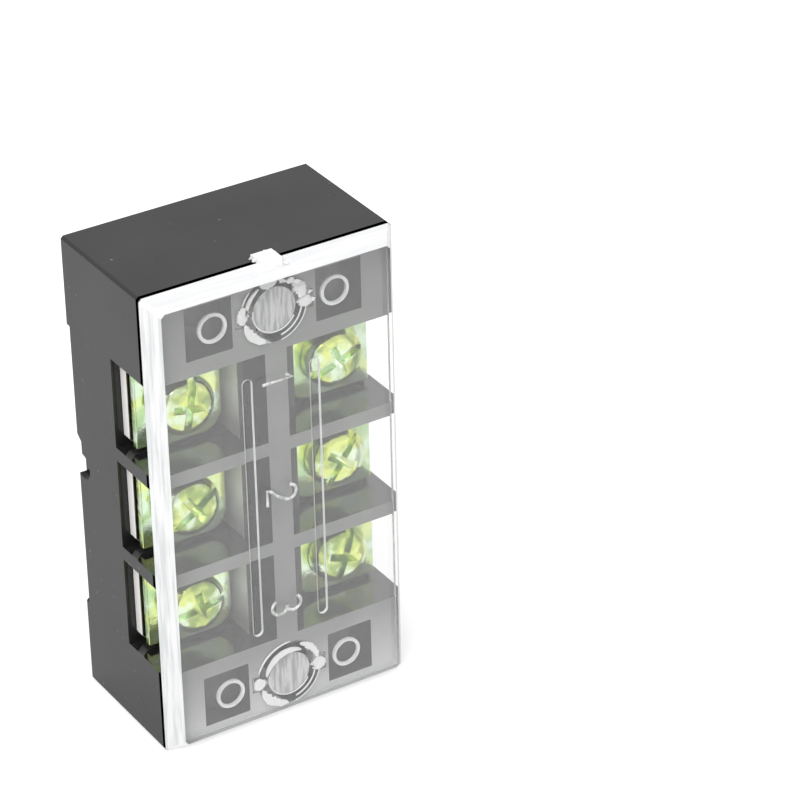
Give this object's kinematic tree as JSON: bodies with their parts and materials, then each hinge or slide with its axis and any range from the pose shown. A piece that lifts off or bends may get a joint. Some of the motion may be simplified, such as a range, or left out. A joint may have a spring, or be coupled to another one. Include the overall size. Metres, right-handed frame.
{
  "type": "barrier terminal strip",
  "caption": "Double row barrier terminal strip: black moulded housing, plated current bars with clamp screws and square washers, and a clear push-on cover.",
  "frame": {"origin": "on the standing short end, in the middle of the box round the part", "axes": "+X across the strip from the left row to the right row, +Y from the cover to the mounting back, +Z along the strip from the standing end to the top end"},
  "size_m": [0.03, 0.019, 0.0559],
  "materials": {
    "housing_plastic": "satin",
    "clear_plastic": "clear",
    "plated_brass": "bright nickel plate",
    "zinc_screw": "yellow green zinc plate",
    "zinc_washer": "yellow green zinc plate"
  },
  "bodies": {
    "base": {"housing": "housing_plastic", "current_bar_1": "plated_brass", "current_bar_2": "plated_brass", "current_bar_3": "plated_brass"},
    "cover": {"clear_cover": "clear_plastic"},
    "clamp_left_1": {"clamp_washer_left_1": "zinc_washer"},
    "screw_left_1": {"terminal_screw_left_1": "zinc_screw"},
    "clamp_right_1": {"clamp_washer_right_1": "zinc_washer"},
    "screw_right_1": {"terminal_screw_right_1": "zinc_screw"},
    "clamp_left_2": {"clamp_washer_left_2": "zinc_washer"},
    "screw_left_2": {"terminal_screw_left_2": "zinc_screw"},
    "clamp_right_2": {"clamp_washer_right_2": "zinc_washer"},
    "screw_right_2": {"terminal_screw_right_2": "zinc_screw"},
    "clamp_left_3": {"clamp_washer_left_3": "zinc_washer"},
    "screw_left_3": {"terminal_screw_left_3": "zinc_screw"},
    "clamp_right_3": {"clamp_washer_right_3": "zinc_washer"},
    "screw_right_3": {"terminal_screw_right_3": "zinc_screw"}
  },
  "joints": [
    {"name": "cover_pull_off", "type": "slide", "parent": "base", "child": "cover", "axis": [0, -1, 0], "range_m": [0, 0.012]},
    {"name": "left_clamp_travel_1", "type": "slide", "parent": "base", "child": "clamp_left_1", "axis": [0, -1, 0], "range_m": [-0.00045, 0.002]},
    {"name": "left_screw_turn_1", "type": "hinge", "parent": "clamp_left_1", "child": "screw_left_1", "pos_m": [-0.009, -0.0031, 0.03997], "axis": [0, -1, 0], "range_deg": [-232, 1029]},
    {"name": "right_clamp_travel_1", "type": "slide", "parent": "base", "child": "clamp_right_1", "axis": [0, -1, 0], "range_m": [-0.00045, 0.002]},
    {"name": "right_screw_turn_1", "type": "hinge", "parent": "clamp_right_1", "child": "screw_right_1", "pos_m": [0.009, -0.0031, 0.03997], "axis": [0, -1, 0], "range_deg": [-232, 1029]},
    {"name": "left_clamp_travel_2", "type": "slide", "parent": "base", "child": "clamp_left_2", "axis": [0, -1, 0], "range_m": [-0.00045, 0.002]},
    {"name": "left_screw_turn_2", "type": "hinge", "parent": "clamp_left_2", "child": "screw_left_2", "pos_m": [-0.009, -0.0031, 0.0277], "axis": [0, -1, 0], "range_deg": [-232, 1029]},
    {"name": "right_clamp_travel_2", "type": "slide", "parent": "base", "child": "clamp_right_2", "axis": [0, -1, 0], "range_m": [-0.00045, 0.002]},
    {"name": "right_screw_turn_2", "type": "hinge", "parent": "clamp_right_2", "child": "screw_right_2", "pos_m": [0.009, -0.0031, 0.0277], "axis": [0, -1, 0], "range_deg": [-232, 1029]},
    {"name": "left_clamp_travel_3", "type": "slide", "parent": "base", "child": "clamp_left_3", "axis": [0, -1, 0], "range_m": [-0.00045, 0.002]},
    {"name": "left_screw_turn_3", "type": "hinge", "parent": "clamp_left_3", "child": "screw_left_3", "pos_m": [-0.009, -0.0031, 0.01543], "axis": [0, -1, 0], "range_deg": [-232, 1029]},
    {"name": "right_clamp_travel_3", "type": "slide", "parent": "base", "child": "clamp_right_3", "axis": [0, -1, 0], "range_m": [-0.00045, 0.002]},
    {"name": "right_screw_turn_3", "type": "hinge", "parent": "clamp_right_3", "child": "screw_right_3", "pos_m": [0.009, -0.0031, 0.01543], "axis": [0, -1, 0], "range_deg": [-232, 1029]}
  ],
  "couplings": [
    {"joint": "left_screw_turn_1", "follows": "left_clamp_travel_1", "rad_per_m": 8976},
    {"joint": "right_screw_turn_1", "follows": "right_clamp_travel_1", "rad_per_m": 8976},
    {"joint": "left_screw_turn_2", "follows": "left_clamp_travel_2", "rad_per_m": 8976},
    {"joint": "right_screw_turn_2", "follows": "right_clamp_travel_2", "rad_per_m": 8976},
    {"joint": "left_screw_turn_3", "follows": "left_clamp_travel_3", "rad_per_m": 8976},
    {"joint": "right_screw_turn_3", "follows": "right_clamp_travel_3", "rad_per_m": 8976}
  ]
}
